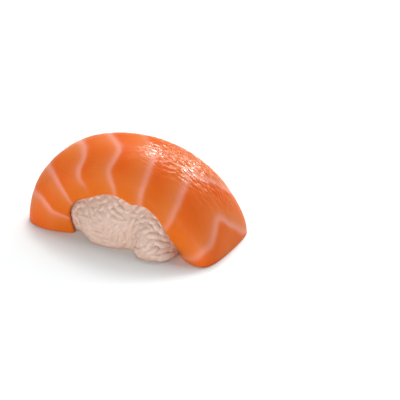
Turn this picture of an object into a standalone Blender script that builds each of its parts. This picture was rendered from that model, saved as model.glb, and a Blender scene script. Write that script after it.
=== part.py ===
"""A piece of nigiri: a slice of salmon laid over a hand-pressed ball of rice.

Units are metres and +Z is up. The slice runs along X and reaches the ground at both ends.
The ball of rice is fitted under the slice, and grains of real size stand out of its front
and its back, where the slice leaves it bare.
"""

import math

import bmesh
import bpy
import numpy as np
from mathutils import Matrix, Vector
from mathutils.bvhtree import BVHTree

MM = 0.001

# Ridge of the slice, seen from the front
REACH_LEFT = 36.7 * MM
REACH_RIGHT = 34.8 * MM
HEIGHT = 30.9 * MM
RIDGE_POWER_LEFT = 2.25
RIDGE_POWER_RIGHT = 1.9

# Cross section of the slice at places along the ridge: -1 is the left end, 1 the right end.
# The first row of a pair is the section's front half, the second its back half.
WIDTH_AT = (-1.0, -0.5, 0.0, 0.5, 1.0)
HALF_WIDTH = MM * np.array([[15.6, 14.0, 14.8, 15.1, 17.4], [15.4, 14.0, 14.8, 15.55, 16.8]])
DROP_AT = (-1.0, -0.5, 0.0, 0.45, 0.75, 1.0)
DROP = MM * np.array([[19.3, 15.0, 13.5, 12.6, 12.0, 12.4], [20.8, 15.0, 13.5, 12.6, 11.2, 13.4]])
TRIM_DEGREES = (0.0, 1.0, 1.0, 5.0, -2.0, 0.0)
SQUARE_AT = (-1.0, -0.5, 0.0, 0.5, 0.8, 1.0)
SQUARE_POWER = np.array([[3.7, 2.6, 2.4, 2.3, 3.0, 6.0], [3.7, 2.6, 2.4, 2.3, 2.7, 4.1]])
# How far the long edges curl in round the rice at the two ends
TUCK_AT = (-1.0, -0.7, 0.0, 0.7, 1.0)
TUCK = np.array([[0.12, 0.03, 0.0, 0.02, 0.335], [0.14, 0.02, 0.0, 0.02, 0.26]])
TUCK_POWER = 5
# The right end is cut aslant, and its front corner stands back
END_SLANT = 1.6 * MM
SLANT_FROM = 5.0 * MM
SLANT_WIDTH = 21.0 * MM
SLANT_TURN = 0.8

# Flesh of the slice
THICK_RIDGE = 4.8 * MM
THICK_EDGE = 1.8 * MM
THICK_POWER = 2.6
# A low wave over the top: its height, how often it repeats along the ridge, its slant
TOP_WAVE = 0.2 * MM
WAVE_RATE = 5.0
WAVE_SLANT = 2.0
# Scallops on the long edges: side, place along the ridge, how far each hangs down, width
SCALLOPS = (
    (-1, 0.18, 1.4 * MM, 0.1),
    (-1, -0.08, -0.7 * MM, 0.12),
    (-1, -0.32, 0.5 * MM, 0.12),
    (1, -0.42, 1.0 * MM, 0.12),
    (1, 0.1, 1.2 * MM, 0.1),
    (1, 0.5, 0.8 * MM, 0.1),
)
# How near the edge the scallops stay and the top wave ends
EDGE_POWER = 6

# Ball of rice: its foot on the ground, at places along the ridge of the slice
GAP = 0.45 * MM
UNDER_RIM = 0.6 * MM
FACE_BULGE = 1.4 * MM
BULGE_POWER = 0.5
FOOT_AT = (-1.0, -0.75, -0.62, -0.5, -0.25, 0.0, 0.25, 0.42, 0.5, 0.75, 0.9, 1.0)
FOOT_X = MM * np.array([-14.4, -12.4, -11.2, -9.0, -4.2, 1.2, 6.4, 9.8, 11.2, 16.4, 18.9, 19.8])
FOOT_FRONT = MM * np.array([10.4, 11.8, 12.2, 15.4, 17.0, 16.6, 15.4, 18.7, 19.2, 18.3, 15.2, 10.6])
FOOT_BACK = MM * np.array([10.4, 12.4, 13.6, 15.0, 17.0, 18.3, 17.4, 16.6, 16.0, 15.6, 13.6, 10.6])

# Grains of cooked rice
GRAIN_LENGTH = 5.8 * MM
GRAIN_WIDTH = 2.8 * MM
GRAIN_DEPTH = 2.5 * MM
GRAIN_SIZE_SPREAD = 0.12
GRAIN_LIFT = 0.3 * MM
GRAIN_TILT_DEGREES = 7.0
GRAIN_SPIN_DEGREES = 35.0
# Main direction of the grains: two swings, in radians, with their rates for each metre
SWING_ALONG = 1.6
SWING_ALONG_RATE = 170.0
SWING_UP = 1.2
SWING_UP_RATE = 330.0
SWING_UP_SLANT = 90.0
GRAIN_CLEARANCE = 0.35 * MM
GRAIN_ABOVE_GROUND = 0.2 * MM
GRAINS_PER_SIDE = 53
GRAIN_SEED = 7
GRAIN_TRIES = 14
GRAIN_SIDES = 5
GRAIN_RINGS = ((-0.34, 0.38), (0.0, 0.5), (0.34, 0.38))
# Where a grain would meet the slice: how much of its length stays, and how far it moves down
GRAIN_FITS = ((1.0, 0.0), (0.8, 0.0), (0.8, 0.8 * MM), (0.65, 1.2 * MM), (0.65, 1.8 * MM))

# Mesh fineness
ROWS = 39
SLICE_OUTER_COLUMNS = 23
INNER_COLUMNS = 13
RIM_STEPS = 3
FACE_STEPS = 6
SAMPLES_ALONG = 160
SAMPLES_DOWN = 50
SAMPLE_END = 0.97
SAMPLE_TOP = 0.06
SHARP_DEGREES = 40

SALMON_COLOUR = (0.73, 0.16, 0.035, 1.0)
SALMON_ROUGHNESS = 0.35
RICE_COLOUR = (0.68, 0.55, 0.46, 1.0)
RICE_ROUGHNESS = 0.55


def clear_scene():
    for item in list(bpy.data.objects):
        bpy.data.objects.remove(item, do_unlink=True)


def make_material(name, colour, roughness):
    material = bpy.data.materials.new(name)
    material.use_nodes = True
    shader = material.node_tree.nodes["Principled BSDF"]
    shader.inputs["Base Color"].default_value = colour
    shader.inputs["Roughness"].default_value = roughness
    shader.inputs["Metallic"].default_value = 0.0
    return material


def curve_through(at, places, values):
    """Smooth curve through the values: cubic between places, slopes read from the neighbours."""
    places = np.asarray(places)
    values = np.asarray(values)
    slopes = np.gradient(values, places)
    left = np.clip(np.searchsorted(places, at) - 1, 0, len(places) - 2)
    step = places[left + 1] - places[left]
    f = (at - places[left]) / step
    start = (1 + 2 * f) * (1 - f) ** 2 * values[left] + f * (1 - f) ** 2 * step * slopes[left]
    end = f**2 * (3 - 2 * f) * values[left + 1] - f**2 * (1 - f) * step * slopes[left + 1]
    return start + end


def sided(turn, across, places, values):
    """Value at a place along the ridge, for the section's front half or for its back half."""
    front, back = (curve_through(turn, places, half) for half in values)
    return np.where(across < 0, front, back)


def superellipse(angle, side, top, power):
    """Point at an angle from the top of a superellipse, and the outward normal there."""
    sine = np.sin(angle)
    cosine = np.cos(angle)
    radius = ((np.abs(sine) / side) ** power + (np.abs(cosine) / top) ** power) ** (-1 / power)
    across = radius * sine
    up = radius * cosine
    out_across = np.sign(across) * (np.abs(across) / side) ** (power - 1) / side
    out_up = np.sign(up) * (np.abs(up) / top) ** (power - 1) / top
    length = np.hypot(out_across, out_up)
    return across, up, out_across / length, out_up / length


def draped(turn, across, depth, lower=0.0):
    """Point in the slice.

    turn goes from -1 at the left end, over the crown at 0, to 1 at the right end, and
    across from -1 at the front edge to 1 at the back edge. depth is measured inwards from
    the outer face, and lower moves the point down the section, away from the ridge.
    """
    reach = np.where(turn < 0, REACH_LEFT, REACH_RIGHT)
    blend = 0.5 + 0.5 * np.sin(turn * math.pi / 2)
    ridge_power = RIDGE_POWER_LEFT + (RIDGE_POWER_RIGHT - RIDGE_POWER_LEFT) * blend
    ridge_x, ridge_z, out_x, out_z = superellipse(turn * math.pi / 2, reach, HEIGHT, ridge_power)

    half = sided(turn, across, WIDTH_AT, HALF_WIDTH)
    drop = sided(turn, across, DROP_AT, DROP)
    trim = np.radians(curve_through(turn, DROP_AT, TRIM_DEGREES))
    square = sided(turn, across, SQUARE_AT, SQUARE_POWER)
    y, up, out_y, out_up = superellipse(across * (math.pi / 2 - trim), half, drop, square)

    rim = np.abs(across) ** EDGE_POWER
    scallops = sum(
        size * np.exp(-(((turn - place) / width) ** 2)) * rim * (across * side > 0)
        for side, place, size, width in SCALLOPS
    )
    wave = np.sin(WAVE_RATE * turn + WAVE_SLANT * across) * np.cos(turn * math.pi / 2)
    inwards = depth + TOP_WAVE * (1 - rim) * wave
    tuck = sided(turn, across, TUCK_AT, TUCK) * np.abs(across) ** TUCK_POWER
    y = y * (1 - tuck) - inwards * out_y
    end = np.clip((turn - SLANT_TURN) / (1 - SLANT_TURN), 0, 1) ** 2
    slant = END_SLANT * end * np.clip((SLANT_FROM - y) / SLANT_WIDTH, 0, 2) ** 2
    fall = drop - up + inwards * out_up + lower + scallops + slant
    return np.stack(np.broadcast_arrays(ridge_x - out_x * fall, y, ridge_z - out_z * fall), -1)


def thickness(across):
    """Thickness of the slice, full at the ridge and thin at the long edges."""
    return THICK_RIDGE + (THICK_EDGE - THICK_RIDGE) * np.abs(across) ** THICK_POWER


def settle_ends(points):
    """The two end sections lie exactly on the ground."""
    points[0, :, 2] = 0.0
    points[-1, :, 2] = 0.0
    return points


def mesh_from(name, points, ring, caps):
    """Mesh on a grid of points: rows joined by quads, closed round or open, with flat caps."""
    rows, columns = points.shape[:2]
    mesh = bmesh.new()
    grid = [[mesh.verts.new(place) for place in row] for row in points]
    last = columns if ring else columns - 1
    for low, high in zip(grid, grid[1:]):
        for column in range(last):
            after = (column + 1) % columns
            mesh.faces.new((low[column], low[after], high[after], high[column]))
    for outline in caps:
        mesh.faces.new([grid[row][column] for row, column in outline])
    bmesh.ops.recalc_face_normals(mesh, faces=mesh.faces)
    bmesh.ops.triangulate(mesh, faces=mesh.faces)
    data = bpy.data.meshes.new(name)
    mesh.to_mesh(data)
    mesh.free()
    item = bpy.data.objects.new(name, data)
    bpy.context.scene.collection.objects.link(item)
    return item


def make_slice():
    """Slab of flesh: a closed section of outer face, rims and inner face, carried over the ridge."""
    turn = np.linspace(-1, 1, ROWS)[:, None]
    outer = np.linspace(-1, 1, SLICE_OUTER_COLUMNS)[None]
    inner = np.linspace(1, -1, INNER_COLUMNS)[None]
    bend = np.linspace(0, math.pi, RIM_STEPS + 2)[None, 1:-1]
    radius = THICK_EDGE / 2
    back_rim = draped(turn, 1.0 + 0 * bend, radius * (1 - np.cos(bend)), radius * np.sin(bend))
    turned = bend[:, ::-1]
    front_rim = draped(turn, -1.0 + 0 * turned, radius * (1 - np.cos(turned)), radius * np.sin(turned))
    points = np.concatenate(
        [
            draped(turn, outer, 0.0 * outer),
            back_rim,
            draped(turn, inner, thickness(inner)),
            front_rim,
        ],
        axis=1,
    )
    points = settle_ends(points)
    columns = points.shape[1]
    caps = [[(row, column) for column in range(columns)] for row in (0, ROWS - 1)]
    return mesh_from("salmon_slice", points, True, caps)


def rice_face(turn, down, side):
    """Bare face of the rice: from under the slice's rim, at down 0, to its foot, at down 1."""
    top = draped(turn, side + 0 * down, THICK_EDGE + GAP, UNDER_RIM)
    foot_y = curve_through(turn, FOOT_AT, FOOT_FRONT if side < 0 else FOOT_BACK)
    foot_x = curve_through(turn, FOOT_AT, FOOT_X)
    x = (1 - down) * top[..., 0] + down * foot_x
    z = (1 - down) * top[..., 2]
    out = np.sin(down * math.pi / 2)
    bulge = FACE_BULGE * np.cos(turn * math.pi / 2) ** BULGE_POWER * np.sin(down * math.pi)
    y = (1 - out) * np.abs(top[..., 1]) + out * foot_y + bulge
    return np.stack(np.broadcast_arrays(x, side * y, z), -1)


def make_rice_core():
    """Pressed rice under the slice, with a flat base and two bulging bare faces."""
    turn = np.linspace(-1, 1, ROWS)[:, None]
    across = np.linspace(-1, 1, INNER_COLUMNS)[None]
    down = np.linspace(0, 1, FACE_STEPS + 1)[None]
    points = np.concatenate(
        [
            rice_face(turn, down[:, ::-1], -1),
            draped(turn, across, thickness(across) + GAP),
            rice_face(turn, down, 1),
        ],
        axis=1,
    )
    points = settle_ends(points)
    columns = points.shape[1]
    last = ROWS - 1
    outline = [(0, column) for column in range(columns)]
    outline += [(row, columns - 1) for row in range(1, last)]
    outline += [(last, column) for column in reversed(range(columns))]
    outline += [(row, 0) for row in reversed(range(1, last))]
    return mesh_from("rice_ball", points, False, [outline])


def grain_shape():
    """Blunt spindle, 1 long and 1 wide: two end points with rings between them."""
    places = [(-0.5, 0.0, 0.0)]
    for along, radius in GRAIN_RINGS:
        for step in range(GRAIN_SIDES):
            angle = 2 * math.pi * (step + along) / GRAIN_SIDES
            places.append((along, radius * math.cos(angle), radius * math.sin(angle)))
    places.append((0.5, 0.0, 0.0))
    end = len(places) - 1
    last = end - GRAIN_SIDES
    faces = []
    for step in range(GRAIN_SIDES):
        after = (step + 1) % GRAIN_SIDES
        faces.append((0, 1 + after, 1 + step))
        faces.append((end, last + step, last + after))
        for ring in range(1, last, GRAIN_SIDES):
            above = ring + GRAIN_SIDES
            faces.append((ring + step, ring + after, above + after))
            faces.append((ring + step, above + after, above + step))
    return np.array(places), faces


def face_samples(side):
    """Fine points on a bare face, with the outward normal and the area that each stands for."""
    turn = np.linspace(-SAMPLE_END, SAMPLE_END, SAMPLES_ALONG)[:, None]
    down = np.linspace(SAMPLE_TOP, SAMPLE_END, SAMPLES_DOWN)[None]
    points = rice_face(turn, down, side)
    normals = np.cross(np.gradient(points, axis=0), np.gradient(points, axis=1)).reshape(-1, 3)
    areas = np.linalg.norm(normals, axis=1)
    normals = normals / areas[:, None]
    normals *= np.sign(normals[:, 1:2]) * side
    return points.reshape(-1, 3), normals, areas


def spread_places(rng, points, areas, count):
    """Picks places one by one, each the loneliest of a few random ones."""
    chance = areas / areas.sum()
    picked = [int(rng.choice(len(points), p=chance))]
    while len(picked) < count:
        offered = rng.choice(len(points), size=GRAIN_TRIES, p=chance)
        far = np.linalg.norm(points[offered][:, None] - points[picked][None], axis=2).min(axis=1)
        picked.append(int(offered[far.argmax()]))
    return picked


def clear_of(tree, points, faces, clearance):
    """True when a small solid is outside the solid in the tree, and not near its surface.

    It is tested at its points and at the middles of its faces and edges.
    """
    corners = points[np.array(faces)]
    middles = (corners + np.roll(corners, 1, axis=1)).reshape(-1, 3) / 2
    for place in np.concatenate([points, corners.mean(axis=1), middles]):
        nearest, normal, _, distance = tree.find_nearest(Vector(place))
        inside = (Vector(place) - nearest).dot(normal) < -distance / 2
        if inside or distance < clearance:
            return False
    return True


def placed_grain(shape, point, normal, angles, size, length, down):
    """Points of one grain: scaled, laid on the face, turned, and kept above the ground."""
    spin, tilt = angles
    scaled = shape * size * (GRAIN_LENGTH * length, GRAIN_WIDTH, GRAIN_DEPTH)
    laid = Vector(normal).to_track_quat("Z", "X").to_matrix()
    laid = laid @ Matrix.Rotation(spin, 3, "Z") @ Matrix.Rotation(tilt, 3, "Y")
    placed = scaled @ np.array(laid.transposed()) + point + GRAIN_LIFT * normal
    placed[:, 2] -= down
    placed[:, 2] += max(0.0, GRAIN_ABOVE_GROUND - placed[:, 2].min())
    return placed


def make_grains(slice_item, collection):
    """Grains that lie on the two bare faces, clear of the slice and of the ground.

    Neighbours point roughly the same way, because the main direction turns slowly along
    the face, and those at the foot lie along the ground. A grain that would meet the slice
    is shortened and moved down, or else left out.
    """
    rng = np.random.default_rng(GRAIN_SEED)
    shape, faces = grain_shape()
    cover = bmesh.new()
    cover.from_mesh(slice_item.data)
    tree = BVHTree.FromBMesh(cover)
    for side in (-1, 1):
        points, normals, areas = face_samples(side)
        for index in spread_places(rng, points, areas, GRAINS_PER_SIDE):
            x, _, z = points[index]
            spin = SWING_ALONG * math.sin(SWING_ALONG_RATE * x + side)
            spin += SWING_UP * math.sin(SWING_UP_RATE * z + SWING_UP_SLANT * x)
            spin += math.radians(rng.uniform(-GRAIN_SPIN_DEGREES, GRAIN_SPIN_DEGREES))
            upright = min(1.0, z / GRAIN_LENGTH)
            spin = upright * spin + (1 - upright) * math.pi / 2
            tilt = math.radians(rng.uniform(-GRAIN_TILT_DEGREES, GRAIN_TILT_DEGREES))
            size = 1 + rng.uniform(-GRAIN_SIZE_SPREAD, GRAIN_SIZE_SPREAD, 3)
            for length, down in GRAIN_FITS:
                place = (points[index], normals[index], (spin, tilt), size, length, down)
                placed = placed_grain(shape, *place)
                if clear_of(tree, placed, faces, GRAIN_CLEARANCE):
                    data = bpy.data.meshes.new("grain")
                    data.from_pydata(placed.tolist(), [], faces)
                    collection.objects.link(bpy.data.objects.new("grain", data))
                    break
    cover.free()


def keep_main_shell(item):
    """Drops loose scraps and sealed hollows: only the largest connected shell stays."""
    mesh = bmesh.new()
    mesh.from_mesh(item.data)
    waiting = set(mesh.verts)
    shells = []
    while waiting:
        shell = set()
        edge = [waiting.pop()]
        while edge:
            vertex = edge.pop()
            shell.add(vertex)
            for link in vertex.link_edges:
                other = link.other_vert(vertex)
                if other in waiting:
                    waiting.discard(other)
                    edge.append(other)
        shells.append(shell)
    shells.sort(key=len)
    for shell in shells[:-1]:
        bmesh.ops.delete(mesh, geom=list(shell), context="VERTS")
    bmesh.ops.triangulate(mesh, faces=mesh.faces)
    mesh.to_mesh(item.data)
    mesh.free()


def fuse_grains(core, collection):
    """One union of the core with all grains, after which the separate grains are removed."""
    bpy.context.scene.collection.children.link(collection)
    union = core.modifiers.new("grains", "BOOLEAN")
    union.operation = "UNION"
    union.operand_type = "COLLECTION"
    union.collection = collection
    union.solver = "EXACT"
    bpy.context.view_layer.objects.active = core
    bpy.ops.object.modifier_apply(modifier=union.name)
    for item in list(collection.objects):
        bpy.data.objects.remove(item, do_unlink=True)
    bpy.data.collections.remove(collection)
    keep_main_shell(core)


def stand_on_origin(items):
    """Moves the meshes so that the origin is under the middle of their common box."""
    corners = np.array([vertex.co for item in items for vertex in item.data.vertices])
    low = corners.min(axis=0)
    high = corners.max(axis=0)
    shift = Matrix.Translation((-(low[0] + high[0]) / 2, -(low[1] + high[1]) / 2, -low[2]))
    for item in items:
        item.data.transform(shift)


def main():
    clear_scene()
    salmon = make_slice()
    salmon.data.materials.append(make_material("salmon", SALMON_COLOUR, SALMON_ROUGHNESS))
    rice = make_rice_core()
    grains = bpy.data.collections.new("grains")
    make_grains(salmon, grains)
    fuse_grains(rice, grains)
    rice.data.materials.clear()
    rice.data.materials.append(make_material("rice", RICE_COLOUR, RICE_ROUGHNESS))
    for item in (salmon, rice):
        item.data.shade_smooth()
        item.data.set_sharp_from_angle(angle=math.radians(SHARP_DEGREES))
    stand_on_origin((salmon, rice))


main()
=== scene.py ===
"""Salmon nigiri: a slice of raw fish with its fat lines, over a hand-pressed ball of rice.

Metres, +Z up, +X along the slice, -Y towards the bare face of rice that a guest sees.
"""
import math

import bpy
import numpy as np
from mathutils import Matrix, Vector
from mathutils.bvhtree import BVHTree


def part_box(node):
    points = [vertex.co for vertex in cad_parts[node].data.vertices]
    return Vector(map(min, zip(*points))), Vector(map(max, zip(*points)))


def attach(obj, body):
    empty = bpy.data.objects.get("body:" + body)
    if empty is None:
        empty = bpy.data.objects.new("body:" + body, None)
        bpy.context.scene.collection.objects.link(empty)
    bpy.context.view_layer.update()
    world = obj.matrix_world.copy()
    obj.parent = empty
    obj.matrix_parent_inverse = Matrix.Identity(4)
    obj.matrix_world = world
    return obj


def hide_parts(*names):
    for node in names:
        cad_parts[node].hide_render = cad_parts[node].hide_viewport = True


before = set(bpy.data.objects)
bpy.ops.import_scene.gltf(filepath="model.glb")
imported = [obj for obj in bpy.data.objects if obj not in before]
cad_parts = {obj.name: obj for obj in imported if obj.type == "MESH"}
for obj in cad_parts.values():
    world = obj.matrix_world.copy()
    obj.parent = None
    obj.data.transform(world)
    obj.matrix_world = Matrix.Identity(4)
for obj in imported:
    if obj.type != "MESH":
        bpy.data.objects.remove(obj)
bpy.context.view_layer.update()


# The slice of salmon. Raw fish, cut across its muscle 5 mm thick and draped by hand over the
# rice, so that both ends reach the ground and the long edges thin out. The muscle blocks are
# orange, and between them run pale lines of fat, soft on one side, where they dip under.

MM = 0.001

REACH_LEFT = 36.7 * MM
REACH_RIGHT = 34.8 * MM
HEIGHT = 30.9 * MM
RIDGE_POWER_LEFT = 2.25
RIDGE_POWER_RIGHT = 1.9

# The section across the ridge, at places along it: half its width, its drop from ridge to
# rim, the angle that it stops short by, how squarely it falls, as a power, and how far the
# rim tucks in. The first row of a pair is its front half, the second its back half.
WIDTH_AT = np.array([-1.0, -0.5, 0.0, 0.5, 1.0])
HALF_WIDTH = MM * np.array([[15.6, 14.0, 14.8, 15.1, 17.4], [15.4, 14.0, 14.8, 15.55, 16.8]])
DROP_AT = np.array([-1.0, -0.5, 0.0, 0.45, 0.75, 1.0])
DROP = MM * np.array([[19.3, 15.0, 13.5, 12.6, 12.0, 12.4], [20.8, 15.0, 13.5, 12.6, 11.2, 13.4]])
TRIM_DEGREES = np.array([0.0, 1.0, 1.0, 5.0, -2.0, 0.0])
SQUARE_AT = np.array([-1.0, -0.5, 0.0, 0.5, 0.8, 1.0])
SQUARE_POWER = np.array([[3.7, 2.6, 2.4, 2.3, 3.0, 6.0], [3.7, 2.6, 2.4, 2.3, 2.7, 4.1]])
TUCK_AT = np.array([-1.0, -0.7, 0.0, 0.7, 1.0])
TUCK = np.array([[0.12, 0.03, 0.0, 0.02, 0.335], [0.14, 0.02, 0.0, 0.02, 0.26]])
TUCK_POWER = 5
# The right end is cut aslant: its front corner stands back.
END_SLANT = 1.6 * MM
SLANT_FROM = 5.0 * MM
SLANT_WIDTH = 21.0 * MM
SLANT_TURN = 0.8

THICK_RIDGE = 4.8 * MM
THICK_EDGE = 1.8 * MM
THICK_POWER = 2.6
# The top waves a little, by so many radians per unit of turn and of across.
TOP_WAVE = 0.2 * MM
WAVE_RATE = 5.0
WAVE_SLANT = 2.0
# Scallops of the long edges: side, turn, how much lower the edge hangs, and half width in turn.
SCALLOPS = (
    (-1, 0.18, 1.4 * MM, 0.1),
    (-1, -0.08, -0.7 * MM, 0.12),
    (-1, -0.32, 0.5 * MM, 0.12),
    (1, -0.42, 1.0 * MM, 0.12),
    (1, 0.1, 1.2 * MM, 0.1),
    (1, 0.5, 0.8 * MM, 0.1),
)
EDGE_POWER = 6

# One unit of turn, from the ridge's middle to an end, and one unit of across, from the ridge
# to a long edge, in metres on the surface.
TURN_LENGTH = 52.8 * MM
ACROSS_LENGTH = 22.9 * MM

SLICE_ROWS = 381
OUTER_COLUMNS = 215
INNER_COLUMNS = 15
RIM_STEPS = 5

# Each fat line, from the front edge over the ridge to the back edge: across, turn, strength.
FAT_LINES = (
    (
        (-1.0, -0.8, 0.6), (-0.88, -0.815, 0.75), (-0.78, -0.82, 0.95), (-0.68, -0.79, 1.0),
        (-0.58, -0.775, 0.9), (-0.45, -0.795, 0.8), (0.3, -0.9, 0.8), (1.0, -0.93, 0.6),
    ),
    (
        (-1.0, -0.545, 0.5), (-0.9, -0.55, 0.8), (-0.7, -0.555, 1.0), (-0.5, -0.575, 1.0),
        (-0.35, -0.61, 0.9), (0.0, -0.69, 0.8), (0.5, -0.74, 0.8), (1.0, -0.7, 0.6),
    ),
    (
        (-1.0, -0.27, 0.0), (-0.88, -0.3, 0.3), (-0.76, -0.34, 0.8), (-0.66, -0.34, 1.0),
        (-0.47, -0.3, 1.0), (-0.34, -0.31, 1.0), (-0.14, -0.375, 1.0), (0.1, -0.46, 0.9),
        (0.4, -0.53, 0.8), (1.0, -0.48, 0.6),
    ),
    (
        (-1.0, 0.0, 0.5), (-0.9, -0.015, 0.8), (-0.66, -0.065, 0.9), (-0.5, -0.05, 1.0),
        (-0.34, -0.05, 1.0), (-0.24, -0.075, 1.0), (-0.11, -0.135, 1.0), (0.09, -0.22, 0.9),
        (0.6, -0.31, 0.7), (1.0, -0.24, 0.6),
    ),
    (
        (-1.0, 0.28, 0.7), (-0.88, 0.255, 0.9), (-0.65, 0.235, 0.8), (-0.37, 0.2, 0.9),
        (-0.19, 0.17, 0.9), (-0.04, 0.11, 0.6), (0.15, 0.03, 0.4), (0.6, -0.04, 0.6),
        (1.0, 0.03, 0.6),
    ),
    (
        (-1.0, 0.62, 0.5), (-0.84, 0.575, 0.8), (-0.6, 0.51, 0.9), (-0.3, 0.46, 0.9),
        (-0.15, 0.435, 0.9), (-0.09, 0.465, 0.8), (0.0, 0.515, 0.8), (0.17, 0.565, 0.8),
        (0.36, 0.645, 0.8), (1.0, 0.76, 0.6),
    ),
    (
        (-1.0, 0.975, 0.4), (-0.76, 0.935, 0.6), (-0.66, 0.895, 0.8), (-0.53, 0.86, 0.9),
        (-0.46, 0.83, 1.0), (-0.36, 0.79, 1.0), (-0.26, 0.765, 1.0), (-0.17, 0.775, 1.0),
        (-0.04, 0.83, 1.0), (0.14, 0.885, 1.0), (0.3, 0.94, 0.9), (1.0, 1.1, 0.6),
    ),
)
# Half the width of a line, how soft its two sides are, and the strength and reach of the
# glow on its soft side, where the sheet of fat dips under the flesh.
FAT_HALF_WIDTH = 0.98 * MM
FAT_SHARP_SIDE = 0.34 * MM
FAT_SOFT_SIDE = 0.58 * MM
FAT_GLOW = 0.3
FAT_GLOW_REACH = 1.8 * MM
FAT_STEP_LIMIT = 30
FAT_GROOVE = 0.12 * MM
# Share of the fat that shows on the face on the rice.
FAT_UNDERNEATH = 0.6
# How far a line wanders aside, and the number of hills per unit of turn and of across.
FAT_WANDER = 0.22 * MM
FAT_WANDER_TURN = 22
FAT_WANDER_ACROSS = 9
# Turn at which the muscle blocks beyond the outermost lines end, just off the slice.
BLOCKS_END = 1.15

# The muscle fibres run along the slice: strands 0.85 mm wide that show for 3.4 mm. They lie
# smooth on the sides and stand up in wet wrinkles on the top, towards the right, which bend
# a little aside. The relief fades out towards the long edges.
FIBRE_LENGTH = 3.4 * MM
FIBRE_WIDTH = 0.85 * MM
FIBRE_HEIGHT = 0.015 * MM
WRINKLE_LENGTH = 1.5 * MM
WRINKLE_WIDTH = 0.62 * MM
WRINKLE_HEIGHT = 0.14 * MM
WRINKLE_MIDDLE = (0.41, 0.07)
WRINKLE_REACH = (0.32, 0.55)
WRINKLE_FADE_POWER = 0.4
WRINKLE_BEND = 0.5 * MM
WRINKLE_BEND_LENGTH = 5 * MM
WRINKLE_BEND_WIDTH = 4 * MM
RELIEF_FADE_POWER = 12
# Where the film is thickest (turn, across), and how far it thins out along and aside.
POOLS = ((0.16, -0.19), (0.43, -0.08))
POOL_ALONG = 2.0 * MM
POOL_ASIDE = 2.8 * MM
POOL_FILM = 0.6

# Sizes of the patterns in the flesh, along and aside where there are two.
CLOUD_SIZE = 11 * MM
STRAND_SIZE = (4.5 * MM, 0.5 * MM)
THREAD_SIZE = (2.2 * MM, 0.9 * MM)
# How far light spreads inside the flesh.
LIGHT_REACH = 2.2 * MM

NOISE_CELLS = 256
FAT_SEED = 3
FIBRE_SEED = 11
BEND_SEED = 12
WRINKLE_SEED = 13

FLESH_DEEP = "DC5E1C"
FLESH_PALE = "DC7431"
FLESH_YELLOW = "CE6A14"
FAT_COLOUR = "E4957C"


def curve_through(at, places, values):
    """Smooth curve through the values: cubic Hermite spans, slopes from the neighbours."""
    slopes = np.gradient(values, places)
    left = np.clip(np.searchsorted(places, at) - 1, 0, len(places) - 2)
    step = places[left + 1] - places[left]
    part = (at - places[left]) / step
    start = (1 + 2 * part) * (1 - part) ** 2 * values[left]
    end = part**2 * (3 - 2 * part) * values[left + 1]
    lean = part * (1 - part) ** 2 * slopes[left] - part**2 * (1 - part) * slopes[left + 1]
    return start + end + step * lean


def sided(turn, across, places, values):
    """Value at a place along the ridge, for the section's front half or for its back half."""
    front, back = (curve_through(turn, places, half) for half in values)
    return np.where(across < 0, front, back)


def superellipse(angle, side, top, power):
    """Point of |across/side|^power + |up/top|^power = 1 at an angle from up, and its normal."""
    sine, cosine = np.sin(angle), np.cos(angle)
    radius = ((np.abs(sine) / side) ** power + (np.abs(cosine) / top) ** power) ** (-1 / power)
    across, up = radius * sine, radius * cosine
    out_across = np.sign(across) * (np.abs(across) / side) ** (power - 1) / side
    out_up = np.sign(up) * (np.abs(up) / top) ** (power - 1) / top
    length = np.hypot(out_across, out_up)
    return across, up, out_across / length, out_up / length


def draped(turn, across, depth, lower=0.0):
    """Surface of the draped slice, depth below its skin, and lower down by the last value.

    The ridge is half a superellipse in the x-z plane, with turn -1 at the left end and 1 at
    the right one. From each of its points half a superellipse falls to both sides, square to
    the ridge: across is -1 at the front edge and 1 at the back one. A scallop lets the edge
    hang lower by its size times exp(-((turn - place) / width)^2).
    """
    reach = np.where(turn < 0, REACH_LEFT, REACH_RIGHT)
    blend = 0.5 + 0.5 * np.sin(turn * math.pi / 2)
    ridge_power = RIDGE_POWER_LEFT + (RIDGE_POWER_RIGHT - RIDGE_POWER_LEFT) * blend
    ridge = superellipse(turn * math.pi / 2, reach, HEIGHT, ridge_power)
    ridge_x, ridge_z, out_x, out_z = ridge
    half = sided(turn, across, WIDTH_AT, HALF_WIDTH)
    drop = sided(turn, across, DROP_AT, DROP)
    trim = np.radians(curve_through(turn, DROP_AT, TRIM_DEGREES))
    square = sided(turn, across, SQUARE_AT, SQUARE_POWER)
    y, up, out_y, out_up = superellipse(across * (math.pi / 2 - trim), half, drop, square)
    rim = np.abs(across) ** EDGE_POWER
    scallops = 0.0
    for side, place, size, width in SCALLOPS:
        dip = np.exp(-(((turn - place) / width) ** 2))
        scallops = scallops + size * dip * rim * (across * side > 0)
    wave = np.sin(WAVE_RATE * turn + WAVE_SLANT * across) * np.cos(turn * math.pi / 2)
    inwards = depth + TOP_WAVE * (1 - rim) * wave
    tuck = sided(turn, across, TUCK_AT, TUCK) * np.abs(across) ** TUCK_POWER
    y = y * (1 - tuck) - inwards * out_y
    end = np.clip((turn - SLANT_TURN) / (1 - SLANT_TURN), 0, 1) ** 2
    slant = END_SLANT * end * np.clip((SLANT_FROM - y) / SLANT_WIDTH, 0, 2) ** 2
    fall = drop - up + inwards * out_up + lower + scallops + slant
    places = np.broadcast_arrays(ridge_x - out_x * fall, y, ridge_z - out_z * fall)
    return np.stack(places, -1)


def thickness(across):
    """Thickness of the slice: it falls from ridge to edge as |across|^THICK_POWER rises."""
    return THICK_RIDGE + (THICK_EDGE - THICK_RIDGE) * np.abs(across) ** THICK_POWER


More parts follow.
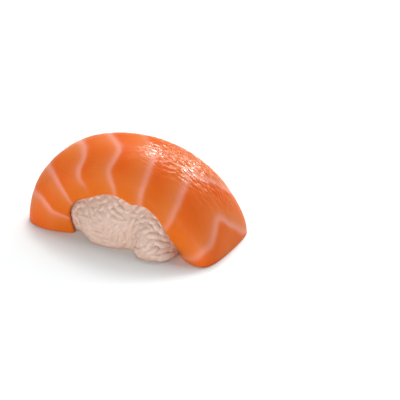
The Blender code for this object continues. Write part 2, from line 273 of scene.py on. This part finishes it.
def soft_noise(u, v, seed):
    """Random hills from -1 to 1: heights at whole u and v, joined by part*part*(3-2*part)."""
    heights = np.random.default_rng(seed).uniform(-1, 1, (NOISE_CELLS, NOISE_CELLS))
    column, row = np.floor(u).astype(int), np.floor(v).astype(int)
    part_u, part_v = u - column, v - row
    part_u = part_u**2 * (3 - 2 * part_u)
    part_v = part_v**2 * (3 - 2 * part_v)
    right, above = (column + 1) % NOISE_CELLS, (row + 1) % NOISE_CELLS
    column, row = column % NOISE_CELLS, row % NOISE_CELLS
    low = heights[column, row] * (1 - part_u) + heights[right, row] * part_u
    high = heights[column, above] * (1 - part_u) + heights[right, above] * part_u
    return low * (1 - part_v) + high * part_v


def fat_marks(turn, across):
    """Fat from 0 to 1, and how far a place is through its muscle block, from 0 to 1.

    The distance to a line is its distance in turn, made shorter where the line runs aslant.
    On both sides the fat ends in a step, 1 / (1 + exp(distance beyond it / softness)), and a
    glow of exp(-distance beyond it / reach) stays on the left, where the sheet dips under.
    """
    hills = soft_noise(turn * FAT_WANDER_TURN, across * FAT_WANDER_ACROSS, FAT_SEED)
    wander = FAT_WANDER * hills / TURN_LENGTH
    fat = np.zeros(np.broadcast(turn, across).shape)
    places = []
    for line in FAT_LINES:
        at, turns, strengths = np.array(line).T
        place = curve_through(across, at, turns)
        strength = np.clip(curve_through(across, at, strengths), 0, 1)
        slant = np.gradient(place[0], across[0])[None] * TURN_LENGTH / ACROSS_LENGTH
        distance = (turn + wander - place) * TURN_LENGTH / np.hypot(1, slant)
        softness = np.where(distance > 0, FAT_SHARP_SIDE, FAT_SOFT_SIDE)
        beyond = np.abs(distance) - FAT_HALF_WIDTH
        steps = np.clip(beyond / softness, -FAT_STEP_LIMIT, FAT_STEP_LIMIT)
        band = 1 / (1 + np.exp(steps))
        glow = FAT_GLOW * np.exp(-np.clip(beyond, 0, 1) / FAT_GLOW_REACH) * (distance < 0)
        fat = np.maximum(fat, strength * np.maximum(band, glow))
        places.append(place[0])
    ends = np.full_like(places[0], BLOCKS_END)
    bounds = np.sort(np.array([-ends, *places, ends]), axis=0)
    block = sum((turn > bound[None]).astype(int) for bound in bounds[1:-1])
    columns = np.broadcast_to(np.arange(across.shape[1])[None], block.shape)
    start, stop = bounds[block, columns], bounds[block + 1, columns]
    return fat, np.clip((turn - start) / (stop - start), 0, 1)


def flesh_relief(turn, across, fat):
    """Height over the smooth slice, and how wet it is, from 0 to 1.

    The height is strands, plus wrinkles where it is wet, minus grooves at the fat. The wet
    stretch is exp(-(t^2 + a^2)^2), with t and a the distances from its middle over its reach.
    """
    along, aside = turn * TURN_LENGTH, across * ACROSS_LENGTH
    strands = soft_noise(along / FIBRE_LENGTH, aside / FIBRE_WIDTH, FIBRE_SEED)
    bend = soft_noise(along / WRINKLE_BEND_LENGTH, aside / WRINKLE_BEND_WIDTH, BEND_SEED)
    bent = aside + WRINKLE_BEND * bend
    wrinkles = soft_noise(along / WRINKLE_LENGTH, bent / WRINKLE_WIDTH, WRINKLE_SEED)
    offset_turn = (turn - WRINKLE_MIDDLE[0]) / WRINKLE_REACH[0]
    offset_across = (across - WRINKLE_MIDDLE[1]) / WRINKLE_REACH[1]
    wet = np.exp(-(offset_turn**2 + offset_across**2) ** 2)
    fade = 1 - np.abs(across) ** RELIEF_FADE_POWER
    raised = WRINKLE_HEIGHT * wet**WRINKLE_FADE_POWER * wrinkles
    height = FIBRE_HEIGHT * strands + raised - FAT_GROOVE * fat
    return height * fade, wet


def grid_faces(rows, columns, ring):
    """Quads of a grid of points, numbered row by row; a ring joins last column and first."""
    row = np.arange(rows - 1)[:, None]
    column = np.arange(columns if ring else columns - 1)[None]
    after = (column + 1) % columns
    corners = (row * columns + column, (row + 1) * columns + column)
    corners += ((row + 1) * columns + after, row * columns + after)
    return np.stack(np.broadcast_arrays(*corners), -1).reshape(-1, 4)


def piece_from(name, points, faces, caps=(), marks=None, smooth_caps=False):
    """Mesh object of points and smooth faces; the caps come last; marks are values per point."""
    mesh = bpy.data.meshes.new(name)
    mesh.from_pydata(points.reshape(-1, 3).tolist(), [], faces.tolist() + list(caps))
    smooth = np.ones(len(mesh.polygons), bool)
    smooth[len(faces):] = smooth_caps
    mesh.polygons.foreach_set("use_smooth", smooth)
    for mark, values in (marks or {}).items():
        stored = mesh.attributes.new(mark, "FLOAT", "POINT")
        stored.data.foreach_set("value", np.ascontiguousarray(values, np.float32).ravel())
    mesh.update()
    item = bpy.data.objects.new(name, mesh)
    bpy.context.collection.objects.link(item)
    return item


def linear(colour):
    """sRGB hex colour as linear red, green, blue and 1: ((c + 0.055) / 1.055) ^ 2.4."""
    channels = np.array([int(colour[place:place + 2], 16) / 255 for place in (0, 2, 4)])
    bright = ((channels + 0.055) / 1.055) ** 2.4
    return (*np.where(channels > 0.04045, bright, channels / 12.92).tolist(), 1.0)


def add(tree, kind, inputs=None, **settings):
    """Adds a node with its settings, and gives its inputs their values or links them."""
    new = tree.nodes.new(kind)
    for name, value in settings.items():
        setattr(new, name, value)
    for socket, value in (inputs or {}).items():
        if isinstance(value, bpy.types.NodeSocket):
            tree.links.new(value, new.inputs[socket])
        else:
            new.inputs[socket].default_value = value
    return new


def new_material(name):
    """Empty material, and its node tree."""
    material = bpy.data.materials.new(name)
    material.use_nodes = True
    material.node_tree.nodes.clear()
    return material, material.node_tree


# The smooth surface is worked out as rows along the ridge. Each row is a loop: the skin, the
# rounded back edge, the face on the rice, and the rounded front edge.
turn = np.linspace(-1, 1, SLICE_ROWS)[:, None]
outer = np.linspace(-1, 1, OUTER_COLUMNS)[None]
inner = np.linspace(1, -1, INNER_COLUMNS)[None]
bend = np.linspace(0, math.pi, RIM_STEPS + 2)[None, 1:-1]
rim_depth = THICK_EDGE / 2 * (1 - np.cos(bend))
rim_lower = THICK_EDGE / 2 * np.sin(bend)
fat, block = fat_marks(turn, outer)
relief, wet = flesh_relief(turn, outer, fat)
pool = 0.0
for place, aside in POOLS:
    far_along = (turn - place) * TURN_LENGTH / POOL_ALONG
    far_aside = (outer - aside) * ACROSS_LENGTH / POOL_ASIDE
    pool = pool + np.exp(-(far_along**2) - far_aside**2)
slice_points = np.concatenate(
    [
        draped(turn, outer, -relief),
        draped(turn, np.ones_like(bend), rim_depth, rim_lower),
        draped(turn, inner, thickness(inner)),
        draped(turn, -np.ones_like(bend), rim_depth[:, ::-1], rim_lower[:, ::-1]),
    ],
    axis=1,
)
slice_points[[0, -1], :, 2] = 0
node_low, node_high = (np.array(corner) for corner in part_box("salmon_slice"))
own_low, own_high = slice_points.min(axis=(0, 1)), slice_points.max(axis=(0, 1))
shift = (node_low + node_high - own_low - own_high) / 2
shift[2] = 0
slice_points += shift


def around(values, fold):
    """Values on the skin, carried on round both rims and over the inner face."""
    back, front = values[:, -1:], values[:, :1]
    under = values[:, np.linspace(OUTER_COLUMNS - 1, 0, INNER_COLUMNS).astype(int)]
    rims = np.ones((1, RIM_STEPS))
    return np.concatenate([values, back * rims, under * fold, front * rims], axis=1)


loop = slice_points.shape[1]
caps = [list(range(loop)), list(reversed(range((SLICE_ROWS - 1) * loop, SLICE_ROWS * loop)))]
spread_turn, spread_outer = np.broadcast_arrays(turn, outer)
salmon = piece_from(
    "salmon_slice_skin",
    slice_points,
    grid_faces(SLICE_ROWS, loop, True),
    caps,
    {
        "fat": around(fat, FAT_UNDERNEATH),
        "block": around(block, 1.0),
        "wet": around(wet, 0.0),
        "pool": around(pool, 0.0),
        "along": around(spread_turn * TURN_LENGTH, 1.0),
        "aside": around(spread_outer * ACROSS_LENGTH, 1.0),
        "edge": around(np.abs(spread_outer), 0.0),
    },
)

# Raw salmon muscle, sliced with a wet knife: dense and slightly see-through, so light spreads
# a few millimetres inside it, with a film of water and fish oil on top. The colour is deep
# right after a fat line and paler before the next, where the sheet of fat shows through.
flesh, tree = new_material("raw_salmon_sliced")
fat_mark, block_mark, wet_mark, pool_mark, edge_mark, along, aside = (
    add(tree, "ShaderNodeAttribute", attribute_name=name).outputs["Fac"]
    for name in ("fat", "block", "wet", "pool", "edge", "along", "aside")
)
run = add(tree, "ShaderNodeCombineXYZ", {"X": along, "Y": aside}).outputs["Vector"]
place = add(tree, "ShaderNodeTexCoord").outputs["Object"]

cloud = add(
    tree,
    "ShaderNodeTexNoise",
    {"Vector": place, "Scale": 1 / CLOUD_SIZE, "Detail": 2.0},
).outputs["Fac"]
pale_share = add(
    tree,
    "ShaderNodeMapRange",
    {"Value": block_mark, "From Min": 0.15, "From Max": 1.0, "To Min": 0.0, "To Max": 0.55},
    interpolation_type="SMOOTHSTEP",
)
cloud_share = add(
    tree,
    "ShaderNodeMapRange",
    {"Value": cloud, "From Min": 0.3, "From Max": 0.7, "To Min": 0.0, "To Max": 0.45},
)
paleness = add(
    tree,
    "ShaderNodeMath",
    {0: pale_share.outputs[0], 1: cloud_share.outputs[0]},
    operation="ADD",
)
muscle = add(
    tree,
    "ShaderNodeMix",
    {0: paleness.outputs[0], 6: linear(FLESH_DEEP), 7: linear(FLESH_PALE)},
    data_type="RGBA",
)
thin_share = add(
    tree,
    "ShaderNodeMapRange",
    {"Value": edge_mark, "From Min": 0.55, "From Max": 1.0, "To Min": 0.0, "To Max": 0.6},
    interpolation_type="SMOOTHSTEP",
)
thinned = add(
    tree,
    "ShaderNodeMix",
    {0: thin_share.outputs[0], 6: muscle.outputs[2], 7: linear(FLESH_YELLOW)},
    data_type="RGBA",
)
# Strands along the muscle, lighter and darker by a few percent. Real ones are finer, and
# these are drawn 0.5 mm wide so that they show.
strand_run = add(
    tree,
    "ShaderNodeMapping",
    {"Vector": run, "Scale": (1 / STRAND_SIZE[0], 1 / STRAND_SIZE[1], 1.0)},
)
strand = add(
    tree,
    "ShaderNodeTexNoise",
    {"Vector": strand_run.outputs[0], "Scale": 1.0, "Detail": 3.0},
).outputs["Fac"]
strand_light = add(
    tree,
    "ShaderNodeMapRange",
    {"Value": strand, "From Min": 0.3, "From Max": 0.7, "To Min": 0.97, "To Max": 1.03},
)
stranded = add(
    tree,
    "ShaderNodeHueSaturation",
    {"Value": strand_light.outputs[0], "Color": thinned.outputs[2]},
)
fatty = add(
    tree,
    "ShaderNodeMix",
    {0: fat_mark, 6: stranded.outputs[0], 7: linear(FAT_COLOUR)},
    data_type="RGBA",
)
rough_share = add(
    tree,
    "ShaderNodeMapRange",
    {"Value": wet_mark, "From Min": 0.0, "From Max": 1.0, "To Min": 0.1, "To Max": 0.4},
)
strand_bump = add(
    tree,
    "ShaderNodeBump",
    {"Height": strand, "Strength": rough_share.outputs[0], "Distance": 0.2 * MM},
)
gloss = add(
    tree,
    "ShaderNodeMapRange",
    {"Value": cloud, "From Min": 0.3, "From Max": 0.7, "To Min": 0.34, "To Max": 0.46},
)
film = add(
    tree,
    "ShaderNodeMapRange",
    {"Value": wet_mark, "From Min": 0.0, "From Max": 1.0, "To Min": 0.04, "To Max": 1.0},
)
pooled = add(
    tree,
    "ShaderNodeMath",
    {0: pool_mark, 1: POOL_FILM, 2: film.outputs[0]},
    operation="MULTIPLY_ADD",
)
# The film breaks up into short threads along the strands, with barely wet flesh between.
thread_run = add(
    tree,
    "ShaderNodeMapping",
    {"Vector": run, "Scale": (1 / THREAD_SIZE[0], 1 / THREAD_SIZE[1], 1.0)},
)
threads = add(
    tree,
    "ShaderNodeTexNoise",
    {"Vector": thread_run.outputs[0], "Scale": 1.0, "Detail": 1.0},
).outputs["Fac"]
thread_share = add(
    tree,
    "ShaderNodeMapRange",
    {"Value": threads, "From Min": 0.38, "From Max": 0.54, "To Min": 0.16, "To Max": 1.0},
    interpolation_type="SMOOTHSTEP",
)
broken_film = add(
    tree,
    "ShaderNodeMath",
    {0: pooled.outputs[0], 1: thread_share.outputs[0]},
    operation="MULTIPLY",
)
surface = add(
    tree,
    "ShaderNodeBsdfPrincipled",
    {
        "Base Color": fatty.outputs[2],
        "Roughness": gloss.outputs[0],
        "IOR": 1.36,
        "Specular IOR Level": 0.06,
        "Subsurface Weight": 0.35,
        "Subsurface Radius": (1.0, 0.4, 0.2),
        "Subsurface Scale": LIGHT_REACH,
        "Coat Weight": broken_film.outputs[0],
        "Coat Roughness": 0.05,
        "Coat IOR": 1.45,
        "Normal": strand_bump.outputs[0],
        "Coat Normal": strand_bump.outputs[0],
    },
)
add(tree, "ShaderNodeOutputMaterial", {"Surface": surface.outputs[0]})
salmon.data.materials.append(flesh)
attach(salmon, "root")
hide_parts("salmon_slice")


# The heart of the rice ball. Vinegared rice, pressed in the hand into a firm loaf under the
# slice, with a flat base and two bare faces that bulge out between the slice and the ground.

# The rice keeps this gap under the slice, and its bare faces start this far below the rim.
GAP = 0.45 * MM
UNDER_RIM = 0.6 * MM
FACE_BULGE = 1.4 * MM
BULGE_POWER = 0.5
# The foot of a bare face: where it runs on the ground, at places along the ridge.
FOOT_AT = np.array([-1.0, -0.75, -0.62, -0.5, -0.25, 0.0, 0.25, 0.42, 0.5, 0.75, 0.9, 1.0])
FOOT_X = MM * np.array([-14.4, -12.4, -11.2, -9.0, -4.2, 1.2, 6.4, 9.8, 11.2, 16.4, 19.4, 19.8])
FOOT_FRONT = MM * np.array(
    [10.4, 11.8, 12.2, 15.4, 17.0, 16.6, 15.4, 18.7, 19.2, 18.4, 15.8, 10.6]
)
FOOT_BACK = MM * np.array(
    [10.4, 12.4, 13.6, 15.0, 17.0, 18.3, 17.4, 16.6, 16.0, 15.6, 13.6, 10.6]
)

CORE_ROWS = 121
CORE_COLUMNS = 25
CORE_FACE_STEPS = 24
# The bare faces stand out a little, so that the hollows between the grains stay shallow.
CORE_OUT = 0.22 * MM
CORE_LUMP = 0.15 * MM
CORE_LUMP_SIZE = 2.6 * MM
CORE_LUMPS_DOWN = 8
CORE_SEED = 21

# Rice colour a little darker than the grains: painted shade for the hollows between them.
RICE_PAINTED_SHADE = "D1B09E"
RICE_LUMP_SIZE = 2.8 * MM


def rice_face(turn, down, side, inset=0.0):
    """Bare face of the rice: from under the slice's rim, at down 0, to its foot, at down 1.

    The height falls evenly, the width follows the sine of down and adds a bulge halfway.
    """
    top = draped(turn, np.full_like(down, side), THICK_EDGE + GAP, UNDER_RIM)
    foot_y = curve_through(turn, FOOT_AT, FOOT_FRONT if side < 0 else FOOT_BACK)
    foot_x = curve_through(turn, FOOT_AT, FOOT_X)
    x = (1 - down) * top[..., 0] + down * foot_x
    z = (1 - down) * top[..., 2]
    out = np.sin(down * math.pi / 2)
    bulge = FACE_BULGE * np.cos(turn * math.pi / 2) ** BULGE_POWER * np.sin(down * math.pi)
    y = (1 - out) * np.abs(top[..., 1]) + out * foot_y + bulge - inset
    return np.stack(np.broadcast_arrays(x, side * y, z), -1) + shift


turn = np.linspace(-1, 1, CORE_ROWS)[:, None]
across = np.linspace(-1, 1, CORE_COLUMNS)[None]
down = np.linspace(0, 1, CORE_FACE_STEPS + 1)[None]
hills = soft_noise(turn * TURN_LENGTH / CORE_LUMP_SIZE, down * CORE_LUMPS_DOWN, CORE_SEED)
lumps = CORE_LUMP * hills * np.sin(down * math.pi) - CORE_OUT
core_points = np.concatenate(
    [
        rice_face(turn, down[:, ::-1], -1, lumps[:, ::-1]),
        draped(turn, across, thickness(across) + GAP) + shift,
        rice_face(turn, down, 1, lumps),
    ],
    axis=1,
)
core_points[[0, -1], :, 2] = 0
columns = core_points.shape[1]
last = CORE_ROWS - 1
base = list(range(columns))
base += [row * columns + columns - 1 for row in range(1, last)]
base += [last * columns + column for column in reversed(range(columns))]
base += [row * columns for row in reversed(range(1, last))]
core = piece_from("rice_heart", core_points, grid_faces(CORE_ROWS, columns, False), [base])

# Cooked short-grain rice, dressed with vinegar and sugar and pressed by hand: milky, moist
# and uneven. It shows only in the hollows between the grains, so it is plain and finely lumped,
# and a little darker and warmer than the grains: painted shade for those hollows.
rice_heart, tree = new_material("vinegared_rice_pressed")
place = add(tree, "ShaderNodeTexCoord").outputs["Object"]
lump = add(
    tree,
    "ShaderNodeTexNoise",
    {"Vector": place, "Scale": 1 / RICE_LUMP_SIZE, "Detail": 2.0},
).outputs["Fac"]
tone = add(
    tree,
    "ShaderNodeMapRange",
    {"Value": lump, "From Min": 0.3, "From Max": 0.7, "To Min": 0.9, "To Max": 1.05},
)
toned = add(
    tree,
    "ShaderNodeHueSaturation",
    {"Value": tone.outputs[0], "Color": linear(RICE_PAINTED_SHADE)},
)
lump_bump = add(
    tree,
    "ShaderNodeBump",
    {"Height": lump, "Strength": 0.5, "Distance": 0.5 * MM},
)
surface = add(
    tree,
    "ShaderNodeBsdfPrincipled",
    {
        "Base Color": toned.outputs[0],
        "Roughness": 0.5,
        "Normal": lump_bump.outputs[0],
    },
)
add(tree, "ShaderNodeOutputMaterial", {"Surface": surface.outputs[0]})
core.data.materials.append(rice_heart)
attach(core, "root")
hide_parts("rice_ball")


# The grains. Cooked short-grain rice, 5 to 6 mm long, plump, a little bent, with a notch at
# one end where the germ was. They are pressed into both bare faces, over each other, with
# neighbours roughly in line, and the lowest lie along the ground.

GRAIN_LENGTH = 5.6 * MM
GRAIN_WIDTH = 2.8 * MM
GRAIN_DEPTH = 1.8 * MM
GRAIN_SPREAD = 0.1
GRAIN_POWER = 2.6
GRAIN_DENT = 0.03
GRAIN_BOW = (0.02, 0.12)
NOTCH_DEPTH = (0.1, 0.45)
NOTCH_FROM = 0.28
NOTCH_LENGTH = 0.22
GRAINS_PER_SIDE = 135
GRAIN_SEED = 12
GRAIN_TRIES = 40
GRAIN_SIDES = 8
GRAIN_BANDS = 7
GRAIN_SINK = (-0.5 * MM, -0.4 * MM)
GRAIN_TILT_DEGREES = 5
GRAIN_SPIN_DEGREES = 42
# The direction of the grains swings in two waves over the face, in radians and per metre.
SWING_ALONG = 1.6
SWING_RATE = 170
SWING_UP = 1.2
SWING_UP_RATE = 330
SWING_SLANT = 90
ABOVE_GROUND = 0.1 * MM
SLICE_CLEARANCE = 0.06 * MM
# Where a grain that meets the slice goes instead: metres down and metres in.
GRAIN_MOVES = (
    (0, 0), (0.5 * MM, 0.3 * MM), (1.0 * MM, 0.5 * MM), (1.7 * MM, 0.8 * MM), (2.4 * MM, 1.2 * MM),
)

# The fine points on a bare face that a grain may be set on.
SAMPLE_TURN = 0.95
SAMPLE_ROWS = 240
SAMPLE_DOWN = (0.03, 0.97)
SAMPLE_COLUMNS = 70

RICE_WHITE = "D5B5A4"
RICE_DIM = "CDAB98"
MILK_SIZE = 1.6 * MM
PIT_SIZE = 0.5 * MM


def grain_shape():
    """Points and faces of a blunt spindle 1 long and 1 wide.

    Its radius is (1 - |s|^GRAIN_POWER)^0.5 / 2, with s from -1 to 1 along it.
    """
    station = -np.cos(math.pi * np.arange(1, GRAIN_BANDS) / GRAIN_BANDS)[:, None]
    angle = 2 * math.pi * np.arange(GRAIN_SIDES)[None] / GRAIN_SIDES
    radius = 0.5 * (1 - np.abs(station) ** GRAIN_POWER) ** 0.5
    rings = np.stack(
        np.broadcast_arrays(station / 2, radius * np.cos(angle), radius * np.sin(angle)), -1
    )
    points = np.concatenate([[[-0.5, 0, 0]], rings.reshape(-1, 3), [[0.5, 0, 0]]])
    step = np.arange(GRAIN_SIDES)
    after = (step + 1) % GRAIN_SIDES
    far = 1 + (GRAIN_BANDS - 2) * GRAIN_SIDES
    first = np.stack([np.zeros_like(step), 1 + after, 1 + step], -1)
    final = np.stack([np.full_like(step, len(points) - 1), far + step, far + after], -1)
    bands = 1 + grid_faces(GRAIN_BANDS - 1, GRAIN_SIDES, True)[:, ::-1]
    return points, bands, np.concatenate([first, final])


def face_samples(side):
    """Fine points on a bare face, with outward normals and areas, from cross products."""
    turn = np.linspace(-SAMPLE_TURN, SAMPLE_TURN, SAMPLE_ROWS)[:, None]
    down = np.linspace(*SAMPLE_DOWN, SAMPLE_COLUMNS)[None]
    points = rice_face(turn, down, side)
    normals = np.cross(np.gradient(points, axis=0), np.gradient(points, axis=1)).reshape(-1, 3)
    areas = np.linalg.norm(normals, axis=1)
    normals = normals / areas[:, None]
    normals *= np.sign(normals[:, 1:2]) * side
    return points.reshape(-1, 3), normals, areas


def spread_places(rng, points, areas, count):
    """Picks places one by one, each the loneliest of a few random ones."""
    chance = areas / areas.sum()
    picked = [int(rng.choice(len(points), p=chance))]
    while len(picked) < count:
        offered = rng.choice(len(points), size=GRAIN_TRIES, p=chance)
        far = np.linalg.norm(points[offered][:, None] - points[picked][None], axis=2).min(axis=1)
        picked.append(int(offered[far.argmax()]))
    return np.array(picked)


def clear_of(tree, points):
    """True when none of the points is inside the tree's solid or near its surface."""
    for place in points:
        nearest, normal, _, distance = tree.find_nearest(Vector(place))
        if distance < SLICE_CLEARANCE or (Vector(place) - nearest).dot(normal) < -distance / 2:
            return False
    return True


rng = np.random.default_rng(GRAIN_SEED)
shape, bands, tips = grain_shape()
cover = BVHTree.FromPolygons(
    [Vector(point) for point in slice_points.reshape(-1, 3)],
    grid_faces(SLICE_ROWS, loop, True).tolist(),
)
grains = []
shades = []
for side in (-1, 1):
    points, normals, areas = face_samples(side)
    picked = spread_places(rng, points, areas, GRAINS_PER_SIDE)
    centres, outward = points[picked], normals[picked]
    count = len(picked)
    size = 1 + GRAIN_SPREAD * rng.uniform(-1, 1, (count, 1, 3))
    notch = rng.uniform(*NOTCH_DEPTH, (count, 1))
    bow = rng.uniform(*GRAIN_BOW, (count, 1))
    dents = 1 + GRAIN_DENT * rng.uniform(-1, 1, (count, len(shape), 1))
    sink = rng.uniform(*GRAIN_SINK, (count, 1))
    swing = SWING_ALONG * np.sin(SWING_RATE * centres[:, 0])
    swing += SWING_UP * np.sin(SWING_UP_RATE * centres[:, 2] + SWING_SLANT * centres[:, 0])
    swing += np.radians(GRAIN_SPIN_DEGREES) * rng.uniform(-1, 1, count)
    upright = np.clip(centres[:, 2] / GRAIN_LENGTH, 0, 1)
    sink *= upright[:, None]
    swing *= upright
    tilt = np.radians(GRAIN_TILT_DEGREES) * rng.uniform(-1, 1, count)

    # The notch flattens the outer side of one end, and both ends bend inwards on a parabola,
    # by bow times the grain's length.
    body = shape[None] * dents
    germ = np.clip((body[..., 0] - NOTCH_FROM) / NOTCH_LENGTH, 0, 1) * (body[..., 2] > 0)
    body[..., 2] *= 1 - notch * germ
    body = body * size * (GRAIN_LENGTH, GRAIN_WIDTH, GRAIN_DEPTH)
    body[..., 2] -= bow * body[..., 0] ** 2 / GRAIN_LENGTH * 4

    # The grain's own axes: along the face and level, then up the face, then out of it.
    level = np.cross((0.0, 0.0, 1.0), outward)
    level /= np.linalg.norm(level, axis=1, keepdims=True)
    rising = np.cross(outward, level)
    cosine, sine = np.cos(swing)[:, None], np.sin(swing)[:, None]
    long_axis = cosine * level + sine * rising
    wide_axis = cosine * rising - sine * level
    tilted = np.cos(tilt)[:, None] * long_axis + np.sin(tilt)[:, None] * outward
    deep_axis = np.cos(tilt)[:, None] * outward - np.sin(tilt)[:, None] * long_axis
    axes = np.stack([tilted, wide_axis, deep_axis], 1)
    placed = np.einsum("gpa,gax->gpx", body, axes) + (centres + sink * outward)[:, None]
    placed[..., 2] += np.maximum(0, ABOVE_GROUND - placed[..., 2].min(axis=1))[:, None]
    # Every second point of a grain is tested. One that no move frees of the slice stays out.
    for grain, normal in zip(placed, outward):
        for lower, inwards in GRAIN_MOVES:
            moved = grain - inwards * normal
            moved[:, 2] -= lower
            moved[:, 2] += max(0.0, ABOVE_GROUND - moved[:, 2].min())
            if clear_of(cover, moved[::2]):
                grains.append(moved)
                shades.append(rng.uniform(0, 1))
                break
starts = len(shape) * np.arange(len(grains))[:, None, None]
grain_piece = piece_from(
    "rice_grains",
    np.array(grains),
    (bands[None] + starts).reshape(-1, 4),
    (tips[None] + starts).reshape(-1, 3).tolist(),
    {"shade": np.repeat(shades, len(shape))},
    smooth_caps=True,
)

# Cooked short-grain rice, steamed until its skin is smooth and tacky: a soft shine, and two
# warm whites, mixed by grain and in small milky clouds, so that no two grains are quite
# alike. Real pits are finer, and these are drawn 0.5 mm wide so that they show.
grain_skin, tree = new_material("cooked_rice_grain")
place = add(tree, "ShaderNodeTexCoord").outputs["Object"]
shade_mark = add(tree, "ShaderNodeAttribute", attribute_name="shade").outputs["Fac"]
milk = add(
    tree,
    "ShaderNodeTexNoise",
    {"Vector": place, "Scale": 1 / MILK_SIZE, "Detail": 2.0},
)
mixed = add(
    tree,
    "ShaderNodeMath",
    {0: shade_mark, 1: milk.outputs["Fac"]},
    operation="MULTIPLY",
)
white = add(
    tree,
    "ShaderNodeMix",
    {0: mixed.outputs[0], 6: linear(RICE_WHITE), 7: linear(RICE_DIM)},
    data_type="RGBA",
)
pitted = add(
    tree,
    "ShaderNodeTexNoise",
    {"Vector": place, "Scale": 1 / PIT_SIZE, "Detail": 2.0},
)
pit_bump = add(
    tree,
    "ShaderNodeBump",
    {"Height": pitted.outputs["Fac"], "Strength": 0.25, "Distance": 0.1 * MM},
)
surface = add(
    tree,
    "ShaderNodeBsdfPrincipled",
    {
        "Base Color": white.outputs[2],
        "Roughness": 0.42,
        "Coat Weight": 0.15,
        "Coat Roughness": 0.2,
        "Normal": pit_bump.outputs[0],
    },
)
add(tree, "ShaderNodeOutputMaterial", {"Surface": surface.outputs[0]})
grain_piece.data.materials.append(grain_skin)
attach(grain_piece, "root")
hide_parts("rice_ball")


# The studio: a white matt floor and a soft sky, a big soft lamp high behind, a softer one low
# behind, a low wide one in front that fills the rice, and two small lamps behind, whose
# reflections in the wet film are the two sparkles on the top.

FLOOR_HALF = 2.5
FLOOR_DROP = 0.05 * MM
FLOOR_COLOUR = "F6FAF8"
SKY_COLOUR = "EDF4FF"
SKY_STRENGTH = 0.25
# Name, azimuth and elevation in degrees, distance, width and height in metres, and watts.
SOFTBOXES = (
    ("overhead_softbox", 196, 61, 0.8, 0.6, 0.6, 5.2),
    ("rear_softbox", 160, 34, 0.6, 0.4, 0.22, 0.8),
    ("left_glint_lamp", 198, 54, 0.6, 0.12, 0.13, 0.75),
    ("right_glint_lamp", 158, 37, 0.6, 0.11, 0.1, 0.6),
    ("front_softbox", 4, 8, 0.9, 1.1, 0.22, 5.8),
)

# The camera, fitted to the outline of the food in the photograph.
CAMERA_AZIMUTH = 29
CAMERA_ELEVATION = 26
CAMERA_DISTANCE = 430 * MM
CAMERA_CENTRE = Vector((0.95, 0.0, 13.3)) * MM
CAMERA_ASIDE = 20.45 * MM
CAMERA_RAISED = -3.64 * MM
CAMERA_LENS = 119.2


def direction(azimuth, elevation):
    """Unit vector: azimuth 0 is towards -Y and turns to +X, elevation is above the horizon."""
    turned, raised = math.radians(azimuth), math.radians(elevation)
    flat = math.cos(raised)
    return Vector((math.sin(turned) * flat, -math.cos(turned) * flat, math.sin(raised)))


def softbox(name, azimuth, elevation, distance, width, height, power):
    """Rectangular lamp that points at the food from a direction."""
    lamp = bpy.data.lights.new(name, "AREA")
    lamp.shape = "RECTANGLE"
    lamp.size, lamp.size_y = width, height
    lamp.energy = power
    item = bpy.data.objects.new(name, lamp)
    item.location = direction(azimuth, elevation) * distance
    item.rotation_euler = direction(azimuth, elevation).to_track_quat("Z", "Y").to_euler()
    bpy.context.collection.objects.link(item)


corners = np.array([(-1, -1, 0), (1, -1, 0), (1, 1, 0), (-1, 1, 0)]) * FLOOR_HALF
floor = piece_from("floor", corners - (0, 0, FLOOR_DROP), np.array([[0, 1, 2, 3]]))
# Uncoated white paper, laid flat: it has no shine, so the floor stays even and pale.
matt_floor, tree = new_material("white_matt_paper")
surface = add(
    tree,
    "ShaderNodeBsdfPrincipled",
    {"Base Color": linear(FLOOR_COLOUR), "Roughness": 0.9, "Specular IOR Level": 0.1},
)
add(tree, "ShaderNodeOutputMaterial", {"Surface": surface.outputs[0]})
floor.data.materials.append(matt_floor)

for values in SOFTBOXES:
    softbox(*values)

sky = bpy.data.worlds.new("studio_sky")
sky.use_nodes = True
sky.node_tree.nodes.clear()
air = add(
    sky.node_tree,
    "ShaderNodeBackground",
    {"Color": linear(SKY_COLOUR), "Strength": SKY_STRENGTH},
)
add(sky.node_tree, "ShaderNodeOutputWorld", {"Surface": air.outputs[0]})
bpy.context.scene.world = sky
bpy.context.scene.view_settings.view_transform = "Standard"

lens = bpy.data.cameras.new("camera")
lens.lens = CAMERA_LENS
lens.clip_start = 0.05
lens.clip_end = 20
camera = bpy.data.objects.new("camera", lens)
bpy.context.collection.objects.link(camera)
back = direction(CAMERA_AZIMUTH, CAMERA_ELEVATION)
camera_turn = math.radians(CAMERA_AZIMUTH)
right = Vector((math.cos(camera_turn), math.sin(camera_turn), 0.0))
target = CAMERA_CENTRE + right * CAMERA_ASIDE + back.cross(right) * CAMERA_RAISED
camera.location = CAMERA_CENTRE + back * CAMERA_DISTANCE
camera.rotation_mode = "QUATERNION"
camera.rotation_quaternion = (camera.location - target).to_track_quat("Z", "Y")
bpy.context.scene.camera = camera
